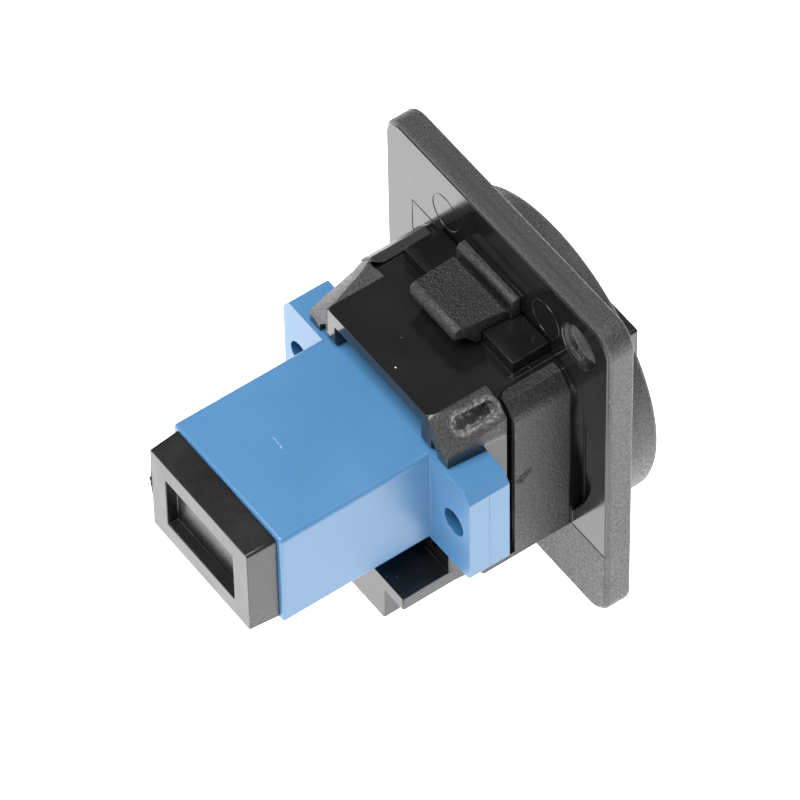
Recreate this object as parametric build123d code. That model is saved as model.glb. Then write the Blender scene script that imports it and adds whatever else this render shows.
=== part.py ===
from build123d import *
import os

# Fibre optic adapter for a round connector cut-out in a panel, in millimetres.
# A blue coupler for push-pull plugs sits in a black carrier, which clips into a flanged frame.
# X is right seen from the front, Y points to the rear and Z up.
# The origin is the middle of the flange's rear face.

# Flange and front boss
FLANGE_WIDTH = 26.0
FLANGE_HEIGHT = 31.0
FLANGE_THICK = 2.2
FLANGE_CORNER = 2.0
FLANGE_EDGE = 0.3
SCREW_PITCH_X = 19.0
SCREW_PITCH_Z = 24.0
SCREW_HOLE = 3.2
SCREW_HEAD = 6.2
SCREW_REAR_CHAMFER = 0.35
BOSS_DIAMETER = 24.0
BOSS_DEPTH = 3.0
BOSS_ROUND = 0.4
BOSS_WALL = 1.7
APERTURE_GAP = 0.2

# Shroud behind the flange
SHROUD_RADIUS = 11.3
SHROUD_WIDTH = 18.0
SHROUD_TOP = 8.1
SHROUD_BOTTOM = 8.45
SHROUD_DEPTH = 5.0
SILL_DEPTH = 7.65
CORNER_WALL = 0.6
SIDE_WALL = 0.75
FLOOR_WALL = 0.8
SHROUD_EDGE = 0.3
FOOT_RECESS = 1.0
LEAD_IN = 0.5

# Latch finger
FINGER_WIDTH = 6.0
FINGER_TIP_WIDTH = 5.2
FINGER_REACH = 5.5
FINGER_THICK = 0.95
FINGER_RISE = 0.3
ROOT_WIDTH = 6.4
ROOT_DEPTH = 1.0
ROOT_HEIGHT = 1.75
GROOVE_WIDTH = 0.35
FINGER_NOSE = 0.65
FINGER_UNDER_ROUND = 0.2
FINGER_CORNER = 0.3
TOOTH_LENGTH = 1.2
TOOTH_DROP = 1.05

# Carrier
CARRIER_FIT = 0.1
CARRIER_TOP = 8.2
CARRIER_WALL = 1.25
COLLAR_HALF = 8.55
COLLAR_GAP = 0.3
COLLAR_RADIUS = 11.2
COLLAR_LENGTH = 0.8
NECK_RADIUS = 10.9
CARRIER_REAR_HALF = 8.1
CARRIER_REAR_RADIUS = 10.0
CARRIER_NOSE_WALL = 1.5
CARRIER_REAR_BOTTOM = 8.3
RIB_THICK = 1.1
RIB_ROUND = 0.5
SHOULDER_WIDTH = 12.6
SHOULDER_HEIGHT = 1.2
SHOULDER_REAR = 3.2
TONGUE_REACH = 3.95
TONGUE_CORNER = 0.15
GRIP_WIDTH = 11.9
GRIP_DROP = 3.4
GRIP_THICK = 1.3
GRIP_CORNER = 0.4
PAD_MARK_LENGTH = 3.3
PAD_MARK_WIDTH = 1.2
PAD_MARK_DEPTH = 0.45
PAD_MARK_INSET = 2.9
PAD_MARK_ANGLE = 44.0

# Coupler housings
COUPLER_WIDTH = 12.8
COUPLER_HEIGHT = 9.3
COUPLER_LENGTH = 28.4
COUPLER_EDGE = 0.4
COUPLER_END_ROUND = 0.25
COUPLER_FIT = 0.1
EAR_SPAN = 22.0
EAR_THICK = 3.4
EAR_SEAT = 6.9
EAR_PROUD = 0.25
EAR_CHAMFER_X = 0.7
EAR_CHAMFER_Z = 0.95
EAR_LOWER_CHAMFER = 0.25
EAR_HOLE = 2.2
EAR_HOLE_INSET = 1.9
PORT_WIDTH = 9.05
PORT_HEIGHT = 7.45
PORT_LEAD_IN = 0.35
KEY_WIDTH = 2.1
KEY_DEPTH = 0.6
KEY_START = 3.4
INSERT_SEAT = 1.4

# Latch inserts and sleeve
INSERT_OVERHANG = 0.55
INSERT_FIT = 0.05
SLEEVE_BORE = 2.5
SLEEVE_WALL = 0.35
SLEEVE_LENGTH = 11.4
SLEEVE_SLOT = 0.4
SLEEVE_FIT = 0.1
BARREL_WALL = 0.7
BARREL_LIP = 0.7
BARREL_LIP_BORE = 2.9
HOOK_GAP = 6.2
HOOK_THICK = 0.75
HOOK_WIDTH = 2.7
HOOK_LENGTH = 7.0
BARB_HEIGHT = 0.55
BARB_LENGTH = 1.1

# Dust caps
CAP_WIDTH = 11.9
CAP_HEIGHT = 8.7
CAP_DEPTH = 2.4
CAP_DRAFT = 0.15
CAP_EDGE = 0.25
CAP_WINDOW_WIDTH = 8.0
CAP_WINDOW_HEIGHT = 4.9
CAP_WINDOW_DEPTH = 0.9
PLUG_LENGTH = 7.2
PLUG_FIT = 0.1
PLUG_LEAD_IN = 0.4
PLUG_BORE_GAP = 0.35
PLUG_FLOOR = 1.2
PLUG_SLOT_GAP = 0.35
NUB_RADIUS = 0.25
NUB_LENGTH = 0.35
NUB_HEIGHT = 0.45

# Places worked out from the sizes
MIDDLE = EAR_SEAT + EAR_THICK / 2
COUPLER_REAR = MIDDLE + COUPLER_LENGTH / 2
BOSS_FRONT = -FLANGE_THICK - BOSS_DEPTH
CAVITY_FRONT = BOSS_FRONT + BOSS_WALL
CAVITY_HALF = SHROUD_WIDTH / 2 - SIDE_WALL
CAVITY_BOTTOM = -SHROUD_BOTTOM + FLOOR_WALL
CAVITY_RADIUS = SHROUD_RADIUS - CORNER_WALL
CARRIER_HALF = CAVITY_HALF - CARRIER_FIT
CARRIER_RADIUS = CAVITY_RADIUS - CARRIER_FIT
CARRIER_BOTTOM = CAVITY_BOTTOM + CARRIER_FIT
CARRIER_FRONT = CAVITY_FRONT + CARRIER_FIT
CARRIER_REAR = EAR_SEAT + EAR_THICK - EAR_PROUD
CARRIER_STEP = SILL_DEPTH + CARRIER_FIT
COLLAR_FRONT = SHROUD_DEPTH + COLLAR_GAP
TONGUE_REAR = CARRIER_REAR + TONGUE_REACH
TONGUE_TOP = -CARRIER_REAR_BOTTOM + CARRIER_WALL
SHOULDER_TOP = CARRIER_TOP + SHOULDER_HEIGHT
FINGER_BOTTOM = SHOULDER_TOP + CARRIER_FIT
SLEEVE_OUTER = SLEEVE_BORE / 2 + SLEEVE_WALL
BARREL_BORE = SLEEVE_OUTER + SLEEVE_FIT
BARREL_RADIUS = BARREL_BORE + BARREL_WALL
HOOK_TIP = MIDDLE + INSERT_SEAT - INSERT_FIT + HOOK_LENGTH


def outline(width, height, x=0.0, z=0.0, corner=0.0):
    """A rectangle seen from the rear or front, centred on x and z."""
    shape = RectangleRounded(width, height, corner) if corner else Rectangle(width, height)
    return Pos(x, z) * shape


def between(x0, x1, z0, z1):
    """A rectangle between two x and two z values."""
    return outline(x1 - x0, z1 - z0, (x0 + x1) / 2, (z0 + z1) / 2)


def push(shape, front, rear):
    """Extrude an outline along Y from front to rear."""
    return extrude(Plane.XZ.offset(-rear) * shape, amount=rear - front)


def rod(radius, front, rear, x=0.0, z=0.0, rear_radius=None):
    """A cylinder or cone along Y."""
    if rear_radius is None:
        return push(Pos(x, z) * Circle(radius), front, rear)
    solid = Cone(radius, rear_radius, rear - front, align=(Align.CENTER, Align.CENTER, Align.MIN))
    return Pos(x, front, z) * Rot(-90, 0, 0) * solid


def side_profile(points, width):
    """Extrude a closed Y-Z profile over a width centred on X."""
    face = make_face(Plane.YZ.offset(-width / 2) * Polyline(*points, close=True))
    return extrude(face, amount=width, dir=(1, 0, 0))


def shroud():
    """Flat-sided sleeve with round corners, open on top, with a longer floor."""
    half = SHROUD_WIDTH / 2
    walls = push(between(-half, half, 0, SHROUD_TOP) & Circle(SHROUD_RADIUS), 0, SHROUD_DEPTH)
    walls += push(between(-half, half, -SHROUD_BOTTOM, 0), 0, SHROUD_DEPTH)
    floor = push(between(-half, half, -SHROUD_BOTTOM, CAVITY_BOTTOM), 0, SILL_DEPTH)
    body = walls + floor
    lower = body.edges().filter_by(Axis.Y).group_by(Axis.Z)[0]
    return chamfer(lower, SHROUD_EDGE)


def foot_recess():
    """Sunk segments of the flange's rear face, beside the flat walls of the shroud."""
    half = SHROUD_WIDTH / 2
    segments = Circle(SHROUD_RADIUS) - between(-half, half, -SHROUD_RADIUS, SHROUD_RADIUS)
    return push(segments, -FOOT_RECESS, 0)


def cavity():
    """Space in the frame that the carrier slides into from the rear."""
    top = CARRIER_TOP + CARRIER_FIT
    profile = between(-CAVITY_HALF, CAVITY_HALF, CAVITY_BOTTOM, top) & Circle(CAVITY_RADIUS)
    room = push(profile, CAVITY_FRONT, SILL_DEPTH)
    mouth_front = SHROUD_DEPTH - LEAD_IN
    wide = outline(SHROUD_WIDTH - SIDE_WALL, 2 * SHROUD_RADIUS) & Circle(SHROUD_RADIUS - CORNER_WALL / 2)
    narrow = outline(2 * CAVITY_HALF, 2 * SHROUD_RADIUS) & Circle(CAVITY_RADIUS)
    mouth = loft([Plane.XZ.offset(-mouth_front) * narrow, Plane.XZ.offset(-SHROUD_DEPTH) * wide])
    half = SHROUD_WIDTH / 2
    above_floor = push(between(-half, half, CAVITY_BOTTOM, SHROUD_RADIUS), 0, SILL_DEPTH)
    return room + (mouth & above_floor)


def finger():
    """Latch finger on the top of the frame: root rib, groove, rounded end and tooth."""
    top = FINGER_BOTTOM + FINGER_THICK
    end_top = top + FINGER_RISE
    groove_end = ROOT_DEPTH + GROOVE_WIDTH
    tooth_front = SHOULDER_REAR + CARRIER_FIT
    points = [
        (0, FINGER_BOTTOM),
        (tooth_front, FINGER_BOTTOM),
        (tooth_front, FINGER_BOTTOM - TOOTH_DROP),
        (tooth_front + TOOTH_LENGTH / 3, FINGER_BOTTOM - TOOTH_DROP),
        (tooth_front + TOOTH_LENGTH, FINGER_BOTTOM),
        (FINGER_REACH, end_top - FINGER_THICK),
        (FINGER_REACH, end_top),
        (groove_end, top),
        (groove_end - GROOVE_WIDTH / 2, top - GROOVE_WIDTH),
        (ROOT_DEPTH, top),
        (0, top),
    ]
    beam = side_profile(points, FINGER_WIDTH)
    for level, radius in ((-1, FINGER_NOSE), (0, FINGER_UNDER_ROUND)):
        ends = beam.edges().filter_by(Axis.X).sort_by(Axis.Y)[-2:]
        beam = fillet(ends.sort_by(Axis.Z)[level], radius)
    outline_points = [
        (-FINGER_WIDTH / 2, 0),
        (FINGER_WIDTH / 2, 0),
        (FINGER_WIDTH / 2, groove_end),
        (FINGER_TIP_WIDTH / 2, FINGER_REACH),
        (-FINGER_TIP_WIDTH / 2, FINGER_REACH),
        (-FINGER_WIDTH / 2, groove_end),
    ]
    plan = extrude(make_face(Polyline(*outline_points, close=True)), amount=end_top)
    plan = fillet(plan.edges().filter_by(Axis.Z).group_by(Axis.Y)[-1], FINGER_CORNER)
    root_top = FINGER_BOTTOM + ROOT_HEIGHT
    root = push(between(-ROOT_WIDTH / 2, ROOT_WIDTH / 2, FINGER_BOTTOM, root_top), 0, ROOT_DEPTH)
    ridge = root.edges().filter_by(Axis.X).group_by(Axis.Z)[-1].sort_by(Axis.Y)[-1]
    root = fillet(ridge, ROOT_DEPTH / 2)
    return (beam & plan) + root


def flange():
    """Flange plate with its round boss, rear edges eased."""
    plate = push(outline(FLANGE_WIDTH, FLANGE_HEIGHT, corner=FLANGE_CORNER), -FLANGE_THICK, 0)
    plate = chamfer(plate.edges().group_by(Axis.Y)[-1], FLANGE_EDGE)
    plate = fillet(plate.edges().group_by(Axis.Y)[0], FLANGE_EDGE)
    boss = rod(BOSS_DIAMETER / 2, BOSS_FRONT, -FLANGE_THICK)
    boss = fillet(boss.edges().group_by(Axis.Y)[0], BOSS_ROUND)
    return plate + boss


def screw_holes():
    """Two countersunk fixing holes on opposite corners."""
    cutters = []
    for side in (-1, 1):
        x, z = side * SCREW_PITCH_X / 2, -side * SCREW_PITCH_Z / 2
        depth = (SCREW_HEAD - SCREW_HOLE) / 2
        cutters.append(rod(SCREW_HOLE / 2, -FLANGE_THICK, 0, x, z))
        front = -FLANGE_THICK
        cutters.append(rod(SCREW_HEAD / 2, front, front + depth, x, z, rear_radius=SCREW_HOLE / 2))
        wide = SCREW_HOLE / 2 + SCREW_REAR_CHAMFER
        cutters.append(rod(SCREW_HOLE / 2, -SCREW_REAR_CHAMFER, 0, x, z, rear_radius=wide))
    return Compound(cutters)


def front_frame():
    """Frame moulded in one: flange, boss, shroud and latch finger."""
    body = flange() - foot_recess() + shroud() - cavity()
    gap = 2 * APERTURE_GAP
    window = outline(COUPLER_WIDTH + gap, COUPLER_HEIGHT + gap, corner=COUPLER_EDGE + APERTURE_GAP)
    body -= push(window, BOSS_FRONT, CAVITY_FRONT)
    for cutter in screw_holes():
        body -= cutter
    return body + finger()


def carrier_shell():
    """Outside of the carrier, with the tongue and grip at its lower rear edge."""
    low = between(-CARRIER_HALF, CARRIER_HALF, CARRIER_BOTTOM, CARRIER_TOP)
    body = push(low & Circle(CARRIER_RADIUS), CARRIER_FRONT, COLLAR_FRONT)
    wide = Plane.XZ.offset(-COLLAR_FRONT) * between(
        -COLLAR_HALF, COLLAR_HALF, -CARRIER_REAR_BOTTOM, CARRIER_TOP
    )
    slim = Plane.XZ.offset(-CARRIER_REAR) * between(
        -CARRIER_REAR_HALF, CARRIER_REAR_HALF, -CARRIER_REAR_BOTTOM, CARRIER_TOP
    )
    tail = loft([wide, slim])
    under = between(-COLLAR_HALF, COLLAR_HALF, -CARRIER_REAR_BOTTOM, CARRIER_BOTTOM)
    tail -= push(under, COLLAR_FRONT, CARRIER_STEP)
    neck = COLLAR_FRONT + COLLAR_LENGTH
    taper = rod(COLLAR_RADIUS, COLLAR_FRONT, neck, rear_radius=NECK_RADIUS)
    taper += rod(NECK_RADIUS, neck, CARRIER_REAR, rear_radius=CARRIER_REAR_RADIUS)
    lower = push(between(-COLLAR_HALF, COLLAR_HALF, -CARRIER_REAR_BOTTOM, 0), COLLAR_FRONT, CARRIER_REAR)
    body += tail & (taper + lower)
    half = SHOULDER_WIDTH / 2
    shoulder = push(between(-half, half, 0, SHOULDER_TOP), CARRIER_FIT, SHOULDER_REAR)
    tongue = push(
        between(-CARRIER_HALF, CARRIER_HALF, -CARRIER_REAR_BOTTOM, TONGUE_TOP), CARRIER_STEP, TONGUE_REAR
    )
    corners = tongue.edges().filter_by(Axis.Z).group_by(Axis.Y)[-1]
    tongue = fillet(corners, TONGUE_CORNER)
    grip_bottom = -CARRIER_REAR_BOTTOM - GRIP_DROP
    grip = between(-GRIP_WIDTH / 2, GRIP_WIDTH / 2, grip_bottom, TONGUE_TOP)
    grip = push(grip, TONGUE_REAR - GRIP_THICK, TONGUE_REAR)
    grip = fillet(grip.edges().filter_by(Axis.Y).group_by(Axis.Z)[0], GRIP_CORNER)
    return body + shoulder + tongue + grip


def carrier_room():
    """Hollow of the carrier behind its front wall, before the ribs are put back."""
    half = CARRIER_HALF - CARRIER_WALL
    front = CARRIER_FRONT + CARRIER_NOSE_WALL
    top = CARRIER_TOP - CARRIER_WALL
    inner = between(-half, half, CARRIER_BOTTOM + CARRIER_WALL, top)
    room = push(inner & Circle(CARRIER_RADIUS - CARRIER_WALL), front, SHROUD_DEPTH)
    tail = push(inner, SHROUD_DEPTH, CARRIER_STEP)
    tail += push(between(-half, half, TONGUE_TOP, top), CARRIER_STEP, CARRIER_REAR)
    cone = rod(
        CARRIER_RADIUS - CARRIER_WALL,
        SHROUD_DEPTH,
        CARRIER_REAR,
        rear_radius=CARRIER_REAR_RADIUS - CARRIER_WALL,
    )
    return room + (tail & cone)


def carrier_ribs():
    """Four ribs that grip the coupler above and below."""
    inner = COUPLER_HEIGHT / 2 + COUPLER_FIT
    outer = COUPLER_WIDTH / 2 - RIB_ROUND / 2
    front = CARRIER_FRONT + CARRIER_NOSE_WALL / 2
    upper = (inner, CARRIER_TOP - CARRIER_WALL / 2)
    lower = (CARRIER_BOTTOM + CARRIER_WALL / 2, -inner)
    ribs = []
    for x in (-outer, outer - RIB_THICK):
        for z0, z1 in (upper, lower):
            rib = push(between(x, x + RIB_THICK, z0, z1), front, CARRIER_REAR)
            rear_edges = rib.edges().filter_by(Axis.X).group_by(Axis.Y)[-1]
            grip_edge = rear_edges.sort_by(lambda edge: abs(edge.center().Z))[0]
            ribs.append(fillet(grip_edge, RIB_ROUND))
    return ribs


def pad_mark():
    """Oval sink on the bevel beside the right ear, seen from the rear."""
    y = CARRIER_REAR - PAD_MARK_INSET
    taper = (NECK_RADIUS - CARRIER_REAR_RADIUS) / (CARRIER_REAR - COLLAR_FRONT - COLLAR_LENGTH)
    radius = CARRIER_REAR_RADIUS + PAD_MARK_INSET * taper
    slot = extrude(SlotOverall(PAD_MARK_LENGTH, PAD_MARK_WIDTH, rotation=90), amount=radius)
    return Pos(0, y, 0) * Rot(0, -PAD_MARK_ANGLE, 0) * Pos(0, 0, radius - PAD_MARK_DEPTH) * slot


def carrier():
    """Carrier that holds the coupler and plugs into the frame from the rear."""
    body = carrier_shell() - carrier_room()
    for rib in carrier_ribs():
        body += rib
    gap = 2 * COUPLER_FIT
    window = outline(COUPLER_WIDTH + gap, COUPLER_HEIGHT + gap)
    body -= push(window, CARRIER_FRONT, CARRIER_REAR)
    ears = outline(EAR_SPAN + gap, COUPLER_HEIGHT + gap)
    body -= push(ears, EAR_SEAT, CARRIER_REAR)
    return body - pad_mark()


def housing_half():
    """Rear half of the coupler housing; the front half is its mirror image."""
    body = push(outline(COUPLER_WIDTH, COUPLER_HEIGHT, corner=COUPLER_EDGE), MIDDLE, COUPLER_REAR)
    body = fillet(body.edges().group_by(Axis.Y)[-1], COUPLER_END_ROUND)
    ear = push(outline(EAR_SPAN, COUPLER_HEIGHT), MIDDLE, MIDDLE + EAR_THICK / 2)
    for sx in (-1, 1):
        for sz in (-1, 1):
            x, z = sx * EAR_SPAN / 2, sz * COUPLER_HEIGHT / 2
            dx = EAR_CHAMFER_X if sz > 0 else EAR_LOWER_CHAMFER
            dz = EAR_CHAMFER_Z if sz > 0 else EAR_LOWER_CHAMFER
            corner = Polyline((x, z), (x - sx * dx, z), (x, z - sz * dz), close=True)
            ear -= push(make_face(corner), MIDDLE, MIDDLE + EAR_THICK / 2)
        hole = sx * (EAR_SPAN / 2 - EAR_HOLE_INSET)
        ear -= rod(EAR_HOLE / 2, MIDDLE, MIDDLE + EAR_THICK / 2, x=hole)
    body += ear
    port = push(outline(PORT_WIDTH, PORT_HEIGHT), MIDDLE, COUPLER_REAR)
    body -= port
    key = between(-KEY_WIDTH / 2, KEY_WIDTH / 2, 0, PORT_HEIGHT / 2 + KEY_DEPTH)
    body -= push(key, MIDDLE + KEY_START, COUPLER_REAR)
    lead = 2 * PORT_LEAD_IN
    mouth = Plane.XZ.offset(-COUPLER_REAR) * outline(PORT_WIDTH + lead, PORT_HEIGHT + lead)
    throat = Plane.XZ.offset(-COUPLER_REAR + PORT_LEAD_IN) * outline(PORT_WIDTH, PORT_HEIGHT)
    body -= loft([throat, mouth])
    seat = outline(PORT_WIDTH + 2 * INSERT_OVERHANG, PORT_HEIGHT + INSERT_OVERHANG)
    return body - push(seat, MIDDLE, MIDDLE + INSERT_SEAT)


def insert_half():
    """Rear latch insert: seat plate, sleeve barrel and two hooks."""
    gap = 2 * INSERT_FIT
    seat = outline(PORT_WIDTH + 2 * INSERT_OVERHANG - gap, PORT_HEIGHT + INSERT_OVERHANG - gap)
    plate_end = MIDDLE + INSERT_SEAT - INSERT_FIT
    body = push(seat, MIDDLE, plate_end)
    sleeve_end = MIDDLE + SLEEVE_LENGTH / 2 + SLEEVE_FIT
    body += rod(BARREL_RADIUS, MIDDLE, sleeve_end + BARREL_LIP)
    body -= rod(BARREL_BORE, MIDDLE, sleeve_end)
    body -= rod(BARREL_LIP_BORE / 2, sleeve_end, sleeve_end + BARREL_LIP)
    inner, tip = HOOK_GAP / 2, HOOK_TIP
    for side in (-1, 1):
        face = make_face(Polyline(
            (side * inner, plate_end - INSERT_SEAT / 2),
            (side * inner, tip - BARB_LENGTH),
            (side * (inner - BARB_HEIGHT), tip - BARB_LENGTH),
            (side * inner, tip),
            (side * (inner + HOOK_THICK), tip),
            (side * (inner + HOOK_THICK), plate_end - INSERT_SEAT / 2),
            close=True,
        ))
        body += extrude(Pos(0, 0, -HOOK_WIDTH / 2) * face, amount=HOOK_WIDTH, dir=(0, 0, 1))
    return body


def split_sleeve():
    """Ceramic alignment sleeve, slit along its top."""
    front, rear = MIDDLE - SLEEVE_LENGTH / 2, MIDDLE + SLEEVE_LENGTH / 2
    tube = rod(SLEEVE_OUTER, front, rear) - rod(SLEEVE_BORE / 2, front, rear)
    return tube - push(between(-SLEEVE_SLOT / 2, SLEEVE_SLOT / 2, 0, SLEEVE_OUTER), front, rear)


def rear_dust_cap():
    """Dust cap with a drafted head, a sunk window and a forked plug."""
    rear = COUPLER_REAR + CAP_DEPTH
    base = Plane.XZ.offset(-COUPLER_REAR) * outline(CAP_WIDTH, CAP_HEIGHT)
    face = Plane.XZ.offset(-rear) * outline(CAP_WIDTH - 2 * CAP_DRAFT, CAP_HEIGHT - 2 * CAP_DRAFT)
    head = loft([base, face])
    head = fillet(head.edges().group_by(Axis.Y)[1], CAP_EDGE)
    head -= push(outline(CAP_WINDOW_WIDTH, CAP_WINDOW_HEIGHT), rear - CAP_WINDOW_DEPTH, rear)
    front = COUPLER_REAR - PLUG_LENGTH
    plug = push(outline(PORT_WIDTH - 2 * PLUG_FIT, PORT_HEIGHT - 2 * PLUG_FIT), front, COUPLER_REAR)
    plug = chamfer(plug.edges().group_by(Axis.Y)[0], PLUG_LEAD_IN)
    plug -= rod(BARREL_RADIUS + PLUG_BORE_GAP, front, COUPLER_REAR - PLUG_FLOOR)
    slot = outline(PORT_WIDTH, HOOK_WIDTH + 2 * PLUG_SLOT_GAP)
    plug -= push(slot, front, max(HOOK_TIP, front) + PLUG_SLOT_GAP)
    return head + plug


def gate_nub():
    """Broken gate on the left side of the rear cap, seen from the rear."""
    y = COUPLER_REAR + CAP_DEPTH - NUB_RADIUS
    x = CAP_WIDTH / 2 - CAP_DRAFT
    nub = Pos(x - NUB_LENGTH, y, NUB_HEIGHT) * Rot(0, 90, 0) * Cylinder(
        NUB_RADIUS, 2 * NUB_LENGTH, align=(Align.CENTER, Align.CENTER, Align.MIN)
    )
    return nub


def write(name, shape):
    export_step(shape, f"parts/{name}.step")


os.makedirs("parts", exist_ok=True)
middle_plane = Plane.XZ.offset(-MIDDLE)
housing = housing_half()
insert = insert_half()
cap = rear_dust_cap()
write("front_frame", front_frame())
write("carrier", carrier())
write("rear_coupler_housing", housing)
write("front_coupler_housing", mirror(housing, about=middle_plane))
write("rear_latch_insert", insert)
write("front_latch_insert", mirror(insert, about=middle_plane))
write("split_sleeve", split_sleeve())
write("rear_dust_cap", cap + gate_nub())
write("front_dust_cap", mirror(cap, about=middle_plane))
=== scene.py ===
import math

import bpy
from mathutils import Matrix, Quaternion, Vector


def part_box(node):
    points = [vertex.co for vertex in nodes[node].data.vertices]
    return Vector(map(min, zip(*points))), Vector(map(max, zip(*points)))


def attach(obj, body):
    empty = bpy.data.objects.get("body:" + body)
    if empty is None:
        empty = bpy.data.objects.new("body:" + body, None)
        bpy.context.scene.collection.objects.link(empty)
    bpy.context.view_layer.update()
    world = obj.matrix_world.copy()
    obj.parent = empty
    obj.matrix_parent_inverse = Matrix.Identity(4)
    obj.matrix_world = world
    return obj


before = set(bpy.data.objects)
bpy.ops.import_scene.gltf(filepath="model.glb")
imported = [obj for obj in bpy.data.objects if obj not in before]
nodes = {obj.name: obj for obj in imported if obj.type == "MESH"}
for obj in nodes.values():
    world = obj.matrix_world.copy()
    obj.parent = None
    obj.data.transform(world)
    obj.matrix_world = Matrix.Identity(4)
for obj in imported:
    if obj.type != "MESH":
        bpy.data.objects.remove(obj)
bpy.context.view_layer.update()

# Fibre optic adapter: black frame and carrier, blue coupler with its dust caps on.
# X is right seen from the front, Y points to the rear and Z up. Blender's lengths
# are metres; the places named below are in mm.

MM = 0.001
scene = bpy.context.scene
scene.view_settings.view_transform = "Standard"

# The photograph's camera
CAMERA_PLACE = Vector((-264.06, 192.29, 413.89)) * MM
CAMERA_AIM = Vector((2.53, 6.45, -1.27)) * MM
CAMERA_ROLL = math.radians(-1.23)
LENS = 340.2
SENSOR = 36.0
CLIP_START, CLIP_END = 0.01, 10.0

# Soft studio light and floor, in metres and watts
TOP_LIGHT = {"place": (0.0, 0.33, 0.87), "size": 0.6, "power": 16.5}
FRONT_LIGHT = {"place": (0.3, -0.9, 0.5), "size": 0.5, "power": 4.0}
WORLD_STRENGTH = 0.25
FLOOR_HALF = 3.0
FLOOR_GLOW = 2.3

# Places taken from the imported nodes
FRAME_LOW, FRAME_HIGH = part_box("front_frame")
FLANGE_HALF = FRAME_HIGH.x / MM

# A Mix node keeps its inputs and output for numbers and for colours apart
MIX_SOCKETS = {"FLOAT": (2, 3, 0), "RGBA": (6, 7, 2)}


def camera():
    data = bpy.data.cameras.new("photo_camera")
    data.lens = LENS
    data.sensor_width = SENSOR
    data.clip_start = CLIP_START
    data.clip_end = CLIP_END
    cam = bpy.data.objects.new("photo_camera", data)
    scene.collection.objects.link(cam)
    look = (CAMERA_AIM - CAMERA_PLACE).normalized()
    roll = Quaternion((0, 0, 1), CAMERA_ROLL)
    cam.rotation_mode = "QUATERNION"
    cam.rotation_quaternion = look.to_track_quat("-Z", "Y") @ roll
    cam.location = CAMERA_PLACE
    scene.camera = cam


def area_light(name, place, size, power):
    """A square soft light that looks at the origin."""
    data = bpy.data.lights.new(name, "AREA")
    data.shape = "SQUARE"
    data.size = size
    data.energy = power
    light = bpy.data.objects.new(name, data)
    light.location = place
    light.rotation_mode = "QUATERNION"
    light.rotation_quaternion = (-Vector(place)).to_track_quat("-Z", "Y")
    scene.collection.objects.link(light)


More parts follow.
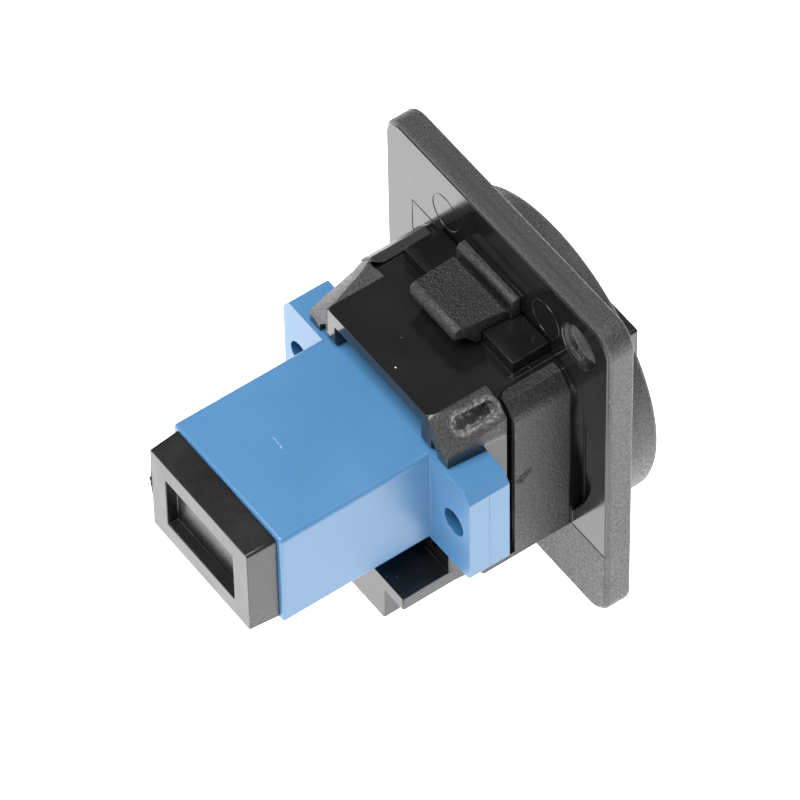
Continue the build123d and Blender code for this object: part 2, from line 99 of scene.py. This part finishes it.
class Shader:
    """Builds one material. Its own place, x, y and z are in metres."""

    def __init__(self, name):
        self.material = bpy.data.materials.new(name)
        self.material.use_nodes = True
        self.tree = self.material.node_tree
        self.surface = self.tree.nodes["Principled BSDF"]
        self.coordinates = self.new("TexCoord")
        self.place = self.coordinates.outputs["Object"]
        self.x, self.y, self.z = self.split(self.place)

    def new(self, kind):
        return self.tree.nodes.new("ShaderNode" + kind)

    def feed(self, socket, value):
        if isinstance(value, bpy.types.NodeSocket):
            self.tree.links.new(value, socket)
        else:
            socket.default_value = value

    def split(self, vector):
        node = self.new("SeparateXYZ")
        self.feed(node.inputs[0], vector)
        return node.outputs

    def maths(self, operation, *values):
        """One operation over two or more values, from left to right."""
        result = values[0]
        for value in values[1:]:
            node = self.new("Math")
            node.operation = operation
            self.feed(node.inputs[0], result)
            self.feed(node.inputs[1], value)
            result = node.outputs[0]
        return result

    def times(self, *values):
        return self.maths("MULTIPLY", *values)

    def plus(self, *values):
        return self.maths("ADD", *values)

    def either(self, *values):
        return self.maths("MAXIMUM", *values)

    def inverse(self, value):
        return self.maths("SUBTRACT", 1.0, value)

    def ramp(self, value, low, high, to_low=0.0, to_high=1.0):
        node = self.new("MapRange")
        self.feed(node.inputs["Value"], value)
        numbers = {"From Min": low, "From Max": high, "To Min": to_low, "To Max": to_high}
        for key, number in numbers.items():
            node.inputs[key].default_value = number
        return node.outputs["Result"]

    def inside(self, value, edge, soft):
        """1 up to the edge, then down to 0 over the soft width."""
        return self.ramp(value, edge, edge + soft, 1.0, 0.0)

    def above(self, value, limit_mm, soft_mm=0.05):
        return self.ramp(value, (limit_mm - soft_mm) * MM, (limit_mm + soft_mm) * MM)

    def below(self, value, limit_mm, soft_mm=0.05):
        return self.ramp(value, (limit_mm - soft_mm) * MM, (limit_mm + soft_mm) * MM, 1.0, 0.0)

    def noise(self, size_mm, detail=2.0, roughness=0.5, stretch=None):
        node = self.new("TexNoise")
        vector = self.place
        if stretch:
            mapping = self.new("Mapping")
            self.feed(mapping.inputs["Vector"], self.place)
            mapping.inputs["Scale"].default_value = stretch
            vector = mapping.outputs[0]
        self.feed(node.inputs["Vector"], vector)
        node.inputs["Scale"].default_value = 1 / (size_mm * MM)
        node.inputs["Detail"].default_value = detail
        node.inputs["Roughness"].default_value = roughness
        return node.outputs["Fac"]

    def cloud(self, size_mm):
        return self.ramp(self.noise(size_mm, 3.0), 0.3, 0.7)

    def ragged(self, reach_mm, size_mm, detail, roughness):
        """Wanders by reach_mm either way, to tear the edge of a mark."""
        noise = self.noise(size_mm, detail, roughness)
        return self.ramp(noise, 0.3, 0.7, -reach_mm, reach_mm)

    def specks(self, spacing_mm, share):
        node = self.new("TexVoronoi")
        self.feed(node.inputs["Vector"], self.place)
        node.inputs["Scale"].default_value = 1 / (spacing_mm * MM)
        return self.ramp(node.outputs["Distance"], share * 0.5, share, 1.0, 0.0)

    def vector(self, operation, a, b=None, scale=None):
        node = self.new("VectorMath")
        node.operation = operation
        self.feed(node.inputs[0], a)
        if b is not None:
            self.feed(node.inputs[1], b)
        if scale is not None:
            self.feed(node.inputs["Scale"], scale)
        return node

    def distance(self, start_mm, end_mm=None):
        """Distance in mm from a point, or from the line between two points."""
        start = Vector(start_mm)
        away = self.vector("SUBTRACT", self.place, start * MM).outputs["Vector"]
        if end_mm is not None:
            run = Vector(end_mm) - start
            share = self.vector("DOT_PRODUCT", away, run / run.length_squared / MM)
            along = self.ramp(share.outputs["Value"], 0.0, 1.0)
            reached = self.vector("SCALE", run * MM, scale=along).outputs["Vector"]
            away = self.vector("SUBTRACT", away, reached).outputs["Vector"]
        return self.times(self.vector("LENGTH", away).outputs["Value"], 1 / MM)

    def facing_up(self):
        """1 where the surface looks up, 0 where it looks sideways or down."""
        up = self.split(self.coordinates.outputs["Normal"])["Z"]
        return self.ramp(up, 0.3, 0.75)

    def mixed(self, kind, factor, a, b):
        node = self.new("Mix")
        node.data_type = kind
        first, second, result = MIX_SOCKETS[kind]
        self.feed(node.inputs[0], factor)
        self.feed(node.inputs[first], a)
        self.feed(node.inputs[second], b)
        return node.outputs[result]

    def mix(self, factor, a, b):
        return self.mixed("RGBA", factor, a, b)

    def blend(self, factor, a, b):
        return self.mixed("FLOAT", factor, a, b)

    def relief(self, height, depth_mm, under=None):
        node = self.new("Bump")
        self.feed(node.inputs["Height"], height)
        node.inputs["Distance"].default_value = depth_mm * MM
        if under is not None:
            self.feed(node.inputs["Normal"], under)
        return node.outputs["Normal"]

    def finish(self, colour, roughness, normal):
        self.feed(self.surface.inputs["Base Color"], colour)
        self.feed(self.surface.inputs["Roughness"], roughness)
        self.feed(self.surface.inputs["Normal"], normal)
        return self.material


def grey(level):
    return (level, level, level, 1.0)


def black_plastic(name, rough_area, pale_level, marks):
    """Black moulding: polished where rough_area is 0, spark-grained where it is 1."""
    s = Shader(name)
    rough = rough_area(s)
    grain = s.noise(0.1, 2.0, 0.6)
    cloud = s.cloud(3.0)
    scuff = s.ramp(s.noise(0.9, 8.0, 0.75, stretch=(1.0, 0.25, 1.0)), 0.62, 0.8)
    dust = s.specks(1.7, 0.045)
    polished = s.mix(cloud, grey(0.0048), grey(0.0072))
    polished = s.mix(s.times(scuff, 0.05), polished, grey(0.12))
    level = s.times(s.ramp(grain, 0.4, 0.64, 0.35, 2.1), pale_level(s))
    colour = s.mix(rough, polished, s.mix(level, grey(0.0), grey(1.0)))
    colour = s.mix(s.times(dust, 0.25), colour, grey(0.25))
    gloss = s.ramp(s.plus(cloud, scuff), 0.0, 2.0, 0.1, 0.3)
    pits = s.plus(grain, s.noise(0.24, 2.0, 0.7))
    roughness = s.blend(rough, gloss, s.ramp(pits, 0.8, 1.2, 0.26, 0.66))
    waves = s.relief(s.noise(4.5, 1.0), 0.02)
    normal = s.relief(s.times(rough, pits), 0.06, waves)
    return s.finish(*marks(s, colour, roughness, normal))


# The frame: its polished rear face and sunk ring, lower parting line, gate scar,
# upper left fixing hole with painted shade inside, latch finger and the strip at the shroud's
# foot
REAR_FACE_LOW, REAR_FACE_HIGH = -0.12, 0.25
RECESS_RADIUS, RECESS_DEPTH = 11.35, 1.1
RECESS_FLOOR = -1.2
LOWER_LINE = -8.35
SCAR_START, SCAR_END = (-9.0, 4.5, 0.2), (-9.0, 3.9, 0.65)
SCAR_RADIUS = 0.2
HOLE_START, HOLE_END = (-9.5, -3.0, 12.0), (-9.5, 0.05, 12.0)
HOLE_RADIUS = 1.75
RIM_TOP = -0.05
FINGER_BASE = 9.6
WALL_BASE = 0.3
FOOT_TOP, FOOT_HALF = -0.85, 9.07


def frame_black():
    """Grained outside, polished rear face, and a gate scar on the side wall; painted light on
    the rim's sides, the finger's top and the wall's sideways faces, and painted shade in the
    fixing hole.
    """
    def rough(s):
        radius = s.distance((0, -RECESS_DEPTH, 0), (0, 1.0, 0))
        ring = s.inside(radius, RECESS_RADIUS, 0.1)
        recess = s.times(s.above(s.y, RECESS_FLOOR, 0.04), ring)
        face = s.either(s.above(s.y, REAR_FACE_LOW, 0.04), recess)
        rear_face = s.times(face, s.below(s.y, REAR_FACE_HIGH))
        return s.inverse(s.times(rear_face, s.above(s.z, LOWER_LINE, 0.1)))

    def pale(s):
        # Painted light: the rim's sideways faces are made paler than its upward faces, and the
        # finger's upward faces paler than the rest.
        rim_sides_light = s.times(s.below(s.y, RIM_TOP, 0.04), s.blend(s.facing_up(), 0.03, 0.009))
        finger_top_light = s.times(s.above(s.z, FINGER_BASE, 0.2), s.facing_up(), 0.006)
        mottle = s.ramp(s.noise(1.8, 3.0), 0.35, 0.65, 0.0, 0.02)
        lower = s.times(s.below(s.z, LOWER_LINE, 0.1), mottle)
        return s.plus(rim_sides_light, s.either(finger_top_light, lower), 0.004)

    def marks(s, colour, roughness, normal):
        torn_edge = s.plus(s.distance(SCAR_START, SCAR_END), s.ragged(0.24, 0.25, 4.0, 0.7))
        scar = s.inside(torn_edge, SCAR_RADIUS, 0.14)
        # Painted shade: the fixing hole's inside is coloured near-black below, together with
        # the gate scar as its own mark.
        shaded_hole = s.inside(s.distance(HOLE_START, HOLE_END), HOLE_RADIUS, 0.1)
        scar_and_hole_shade = s.either(scar, shaded_hole)
        wall = s.above(s.y, WALL_BASE, 0.1)
        side = s.times(wall, s.inverse(s.facing_up()))
        # Painted glints: pale dots on the shroud wall's sideways faces only.
        glint_dots = s.ramp(s.noise(0.13, 2.0, 0.6), 0.52, 0.66)
        colour = s.mix(s.times(side, glint_dots, 0.4), colour, grey(0.05))
        colour = s.mix(scar_and_hole_shade, colour, grey(0.002))
        wall_gloss = s.ramp(s.noise(0.2, 3.0, 0.6), 0.35, 0.65, 0.28, 0.52)
        roughness = s.blend(wall, roughness, wall_gloss)
        across = s.maths("ABSOLUTE", s.x, 0.0)
        strip = s.times(s.below(s.y, FOOT_TOP, 0.04), s.below(across, FOOT_HALF, 0.03))
        foot = s.times(strip, s.above(s.y, RECESS_FLOOR))
        roughness = s.blend(foot, roughness, 0.75)
        roughness = s.blend(scar_and_hole_shade, roughness, 0.15)
        torn = s.times(scar, s.plus(s.noise(0.18, 3.0, 0.7), -1.2))
        return colour, roughness, s.relief(torn, 0.6, normal)
    return black_plastic("frame_black", rough, pale, marks)


# The carrier: its grained bevels, the sunk mark and a pale speck
BEVEL_X, BEVEL_Y, BEVEL_Z = 5.95, 5.2, 5.6
PAD_START, PAD_END = (-7.35, 6.1, 7.6), (-7.35, 8.2, 7.6)
SPECK_PLACE = (-1.08, 9.28, 8.2)


def carrier_black():
    """Polished, with grained bevels and a stress-whitened ring round the sunk mark."""
    def rough(s):
        across = s.maths("ABSOLUTE", s.x, 0.0)
        bevels = s.times(s.above(across, BEVEL_X, 0.1), s.above(s.z, BEVEL_Z, 0.3))
        return s.times(bevels, s.above(s.y, BEVEL_Y))

    def pale(s):
        return s.ramp(s.x, -6 * MM, 6 * MM, 0.02, 0.03)

    def marks(s, colour, roughness, normal):
        reach = s.plus(s.distance(PAD_START, PAD_END), s.ragged(0.16, 0.4, 4.0, 0.65))
        band = s.times(s.ramp(reach, 0.5, 0.62), s.inside(reach, 0.66, 0.39))
        streaks = s.ramp(s.noise(0.25, 4.0, 0.7), 0.42, 0.6, 0.1, 1.0)
        colour = s.mix(s.times(band, streaks), colour, grey(0.2))
        colour = s.mix(s.inside(reach, 0.4, 0.15), colour, grey(0.006))
        speck = s.inside(s.distance(SPECK_PLACE), 0.04, 0.04)
        return s.mix(speck, colour, grey(0.6)), roughness, normal
    return black_plastic("carrier_black", rough, pale, marks)


# The caps: a small ring mark on the rear one's side
RING_PLACE = (-5.85, 24.7, -2.9)


def cap_black():
    """Smooth black with a faint sheen and one small ring mark on its side."""
    def rough(s):
        return s.ramp(s.noise(2.0), 0.0, 1.0, 0.05, 0.2)

    def pale(s):
        return s.ramp(s.noise(1.2), 0.3, 0.7, 0.007, 0.011)

    def marks(s, colour, roughness, normal):
        reach = s.distance(RING_PLACE)
        ring = s.times(s.ramp(reach, 0.42, 0.5), s.inside(reach, 0.54, 0.08))
        return s.mix(s.times(ring, 0.12), colour, grey(0.2)), s.plus(roughness, 0.1), normal
    return black_plastic("cap_black", rough, pale, marks)


# The coupler: its ear holes with their painted shade, a scratch on top and its blues
EAR_HOLE_X, EAR_HOLE_RADIUS = 9.1, 1.1
EAR_FRONT, EAR_REAR = 6.0, 11.0
SCRATCH_START, SCRATCH_END = (1.29, 17.98, 4.65), (0.15, 18.04, 4.65)
BLUE_LOW, BLUE_HIGH = (0.044, 0.152, 0.306, 1.0), (0.050, 0.163, 0.320, 1.0)
SCUFF_BLUE = (0.25, 0.4, 0.6, 1.0)
SPECK_BLUE = (0.02, 0.06, 0.15, 1.0)
SCRATCH_BLUE = (0.6, 0.7, 0.8, 1.0)
HOLE_SHADE_BLUE = (0.01, 0.06, 0.14, 1.0)


def coupler_blue():
    """Pigmented blue moulding with a soft sheen, a few specks, a scratch on top and painted
    shade in the ear holes.
    """
    s = Shader("coupler_blue")
    s.surface.inputs["Specular IOR Level"].default_value = 0.75
    cloud = s.cloud(6.0)
    scuff = s.ramp(s.noise(0.5, 6.0, 0.7, stretch=(1.0, 0.2, 1.0)), 0.66, 0.8)
    colour = s.mix(cloud, BLUE_LOW, BLUE_HIGH)
    colour = s.mix(s.times(scuff, 0.1), colour, SCUFF_BLUE)
    colour = s.mix(s.times(s.specks(3.1, 0.028), 0.7), colour, SPECK_BLUE)
    reach = s.plus(s.distance(SCRATCH_START, SCRATCH_END), s.ragged(0.04, 0.2, 3.0, 0.5))
    colour = s.mix(s.times(s.inside(reach, 0.015, 0.025), 0.45), colour, SCRATCH_BLUE)
    holes = []
    for x in (-EAR_HOLE_X, EAR_HOLE_X):
        radius = s.distance((x, EAR_FRONT, 0), (x, EAR_REAR, 0))
        holes.append(s.inside(radius, EAR_HOLE_RADIUS, 0.06))
    shaded_hole = s.either(*holes)
    # Painted shade: the ear holes' inside walls are coloured deep blue.
    colour = s.mix(s.times(shaded_hole, 0.7), colour, HOLE_SHADE_BLUE)
    roughness = s.ramp(s.plus(cloud, scuff), 0.0, 2.0, 0.34, 0.46)
    roughness = s.blend(shaded_hole, roughness, 0.15)
    waves = s.relief(s.noise(5.0, 1.0), 0.015)
    return s.finish(colour, roughness, s.relief(s.noise(0.25, 3.0), 0.006, waves))


def insert_natural():
    """Unpigmented moulding of the latch inserts."""
    s = Shader("insert_natural")
    s.surface.inputs["Subsurface Weight"].default_value = 0.15
    s.surface.inputs["Subsurface Scale"].default_value = 0.3 * MM
    grain = s.noise(0.12, 3.0)
    colour = s.mix(s.cloud(2.5), (0.62, 0.62, 0.57, 1.0), (0.70, 0.70, 0.66, 1.0))
    return s.finish(colour, s.ramp(grain, 0.3, 0.7, 0.38, 0.5), s.relief(grain, 0.008))


def sleeve_ceramic():
    """Ground white ceramic, faintly lined round the axis."""
    s = Shader("sleeve_ceramic")
    lines = s.noise(0.05, stretch=(0.2, 1.0, 0.2))
    tone = s.ramp(lines, 0.3, 0.7)
    colour = s.mix(tone, (0.80, 0.79, 0.76, 1.0), (0.86, 0.85, 0.83, 1.0))
    return s.finish(colour, s.ramp(lines, 0.3, 0.7, 0.12, 0.22), s.relief(lines, 0.002))


WELD_MM = 0.0005
FLAT_DEGREES = 0.4
BIG_FACE = 5
EDGE_SEGMENTS = 3
SHADE_WEIGHT = 90


def dress(name, material, edge_mm, steep=35, merge=True, cut=False):
    """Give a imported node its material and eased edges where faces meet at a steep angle."""
    node = nodes[name]
    mesh = node.data
    mesh.materials.clear()
    mesh.materials.append(material)
    if "custom_normal" in mesh.attributes:
        mesh.attributes.remove(mesh.attributes["custom_normal"])
    for polygon in mesh.polygons:
        polygon.use_smooth = True
        polygon.material_index = 0
    weld = node.modifiers.new("weld", "WELD")
    weld.merge_threshold = WELD_MM * MM
    if merge:
        flat = node.modifiers.new("flat", "DECIMATE")
        flat.decimate_type = "DISSOLVE"
        flat.angle_limit = math.radians(FLAT_DEGREES)
    if cut:
        parts = node.modifiers.new("parts", "TRIANGULATE")
        parts.quad_method = "BEAUTY"
        parts.ngon_method = "BEAUTY"
        parts.min_vertices = BIG_FACE
    edge = node.modifiers.new("edge", "BEVEL")
    edge.width = edge_mm * MM
    edge.segments = EDGE_SEGMENTS
    edge.limit_method = "ANGLE"
    edge.angle_limit = math.radians(steep)
    edge.use_clamp_overlap = False
    edge.loop_slide = False
    edge.miter_outer = "MITER_ARC"
    shade = node.modifiers.new("shade", "WEIGHTED_NORMAL")
    shade.keep_sharp = False
    shade.weight = SHADE_WEIGHT


black, blue, natural, cap = frame_black(), coupler_blue(), insert_natural(), cap_black()
dress("front_frame", black, 0.03, steep=40)
dress("carrier", carrier_black(), 0.05, cut=True)
dress("rear_coupler_housing", blue, 0.03)
dress("front_coupler_housing", blue, 0.03, merge=False)
dress("rear_latch_insert", natural, 0.03)
dress("front_latch_insert", natural, 0.03)
dress("split_sleeve", sleeve_ceramic(), 0.02)
dress("rear_dust_cap", cap, 0.08)
dress("front_dust_cap", cap, 0.08, cut=True)


# Lines on the flange's rear face, which is at y = 0
LINE_WIDTH = 0.08
EJECTOR_X, EJECTOR_Z, EJECTOR_RADIUS = 5.8, 11.4, 1.5
PARTING_X, PARTING_MARGIN = 9.0, 0.3
INSERT_START, INSERT_X, INSERT_CORNER = 7.0, 9.8, 0.8
INSERT_TOP, INSERT_LOW = 8.95, 5.95


def hairline(name, points_mm, body, closed=False):
    """A fine raised line, as mould inserts and ejector pins leave it."""
    curve = bpy.data.curves.new(name, "CURVE")
    curve.dimensions = "3D"
    curve.bevel_depth = LINE_WIDTH * MM / 2
    curve.bevel_resolution = 3
    spline = curve.splines.new("POLY")
    spline.points.add(len(points_mm) - 1)
    for point, place in zip(spline.points, points_mm):
        point.co = (*(Vector(place) * MM), 1.0)
    spline.use_cyclic_u = closed
    curve.use_fill_caps = not closed
    curve.materials.append(black)
    line = bpy.data.objects.new(name, curve)
    scene.collection.objects.link(line)
    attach(line, body)


def circle(x, z, radius, steps=64):
    turns = [2 * math.pi * i / steps for i in range(steps)]
    return [(x + radius * math.cos(turn), 0, z + radius * math.sin(turn)) for turn in turns]


for side, word in ((-1, "left"), (1, "right")):
    ring = circle(side * EJECTOR_X, EJECTOR_Z, EJECTOR_RADIUS)
    hairline(f"ejector_mark_{word}", ring, "adapter", closed=True)
    ends = (PARTING_X, FLANGE_HALF - PARTING_MARGIN)
    low = [(side * x, 0, LOWER_LINE) for x in ends]
    hairline(f"parting_line_{word}", low, "adapter")
corner = [
    (INSERT_START, 0, INSERT_TOP),
    (INSERT_X, 0, INSERT_TOP),
    (INSERT_X, 0, INSERT_LOW),
    (INSERT_X - INSERT_CORNER, 0, INSERT_LOW - INSERT_CORNER),
]
hairline("insert_line", corner, "adapter")


def floor():
    """A pale floor that glows a little, just under the frame."""
    square = ((-1, -1), (1, -1), (1, 1), (-1, 1))
    corners = [(x * FLOOR_HALF, y * FLOOR_HALF, FRAME_LOW.z) for x, y in square]
    mesh = bpy.data.meshes.new("floor")
    mesh.from_pydata(corners, [], [(0, 1, 2, 3)])
    s = Shader("pale_floor")
    s.surface.inputs["Emission Color"].default_value = grey(1.0)
    s.surface.inputs["Emission Strength"].default_value = FLOOR_GLOW
    mottle = s.noise(40.0)
    colour = s.mix(mottle, grey(0.34), grey(0.36))
    mesh.materials.append(s.finish(colour, 0.9, s.relief(mottle, 0.01)))
    ground = bpy.data.objects.new("floor", mesh)
    scene.collection.objects.link(ground)


def studio():
    world = bpy.data.worlds.new("studio")
    world.use_nodes = True
    background = world.node_tree.nodes["Background"]
    background.inputs["Color"].default_value = grey(1.0)
    background.inputs["Strength"].default_value = WORLD_STRENGTH
    scene.world = world
    area_light("softbox_top", **TOP_LIGHT)
    area_light("softbox_front", **FRONT_LIGHT)
    floor()


camera()
studio()
